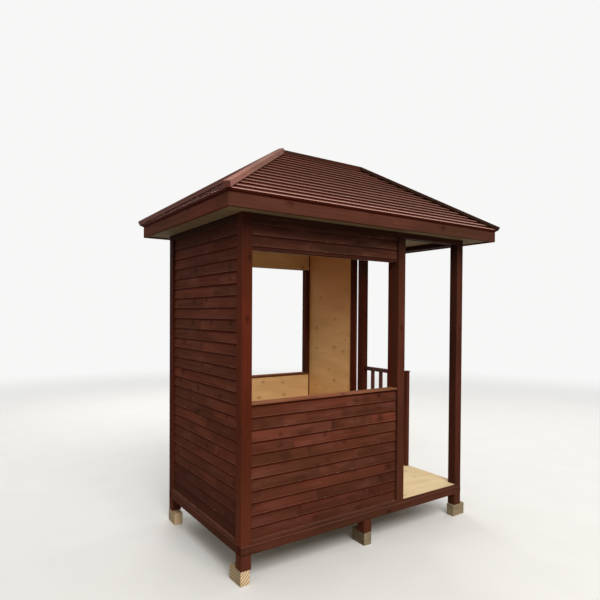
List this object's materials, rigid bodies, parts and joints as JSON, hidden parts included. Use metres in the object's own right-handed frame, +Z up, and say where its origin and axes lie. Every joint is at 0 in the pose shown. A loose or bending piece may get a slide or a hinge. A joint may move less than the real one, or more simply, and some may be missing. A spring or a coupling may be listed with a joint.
{
  "type": "market hut",
  "caption": "Small timber market hut with a boarded room, a wide serving opening with a sill, an open porch with a low railing, and a boarded hipped roof over both.",
  "frame": {"origin": "on the ground, under the middle of the roof", "axes": "+Z up; -Y is the front with the serving opening; +X runs along the front to the porch end"},
  "size_m": [2.4601, 1.564, 2.8639],
  "materials": {
    "stained_post": "satin",
    "stained_beam": "satin",
    "stained_board": "satin",
    "fascia_board": "satin",
    "roof_board": "satin",
    "hip_batten": "satin",
    "sill_board": "satin",
    "plywood_lining": "matte",
    "plywood_floor": "matte",
    "plywood_ceiling": "matte",
    "pine_offcut": "matte"
  },
  "bodies": {
    "root": {"post_front_left": "stained_post", "post_front_mid": "stained_post", "post_front_right": "stained_post", "post_rear_left": "stained_post", "post_rear_mid": "stained_post", "post_rear_right": "stained_post", "legs": "stained_post", "foot_blocks": "pine_offcut", "floor_beam_front": "stained_beam", "floor_beam_rear": "stained_beam", "floor_beam_left": "stained_beam", "floor_beam_right": "stained_beam", "floor_joists": "stained_beam", "floor_panel": "plywood_floor", "left_wall": "stained_board", "front_wall_lower": "stained_board", "rear_wall_lower": "stained_board", "front_header": "stained_board", "rear_header": "stained_board", "window_stud": "stained_post", "partition_wall": "stained_board", "door_posts": "stained_post", "left_lining": "plywood_lining", "front_lining": "plywood_lining", "rear_lining": "plywood_lining", "partition_lining": "plywood_lining", "window_sills": "sill_board", "plates_along": "stained_beam", "plates_across": "stained_beam", "newel": "stained_post", "railing": "stained_post", "ceiling_panel": "plywood_ceiling", "fascia_front": "fascia_board", "fascia_rear": "fascia_board", "fascia_left": "fascia_board", "fascia_right": "fascia_board", "roof_front": "roof_board", "roof_rear": "roof_board", "roof_left": "roof_board", "roof_right": "roof_board", "ridge_cap": "hip_batten", "hip_cap_front_left": "hip_batten", "hip_cap_front_right": "hip_batten", "hip_cap_rear_left": "hip_batten", "hip_cap_rear_right": "hip_batten"}
  },
  "joints": []
}
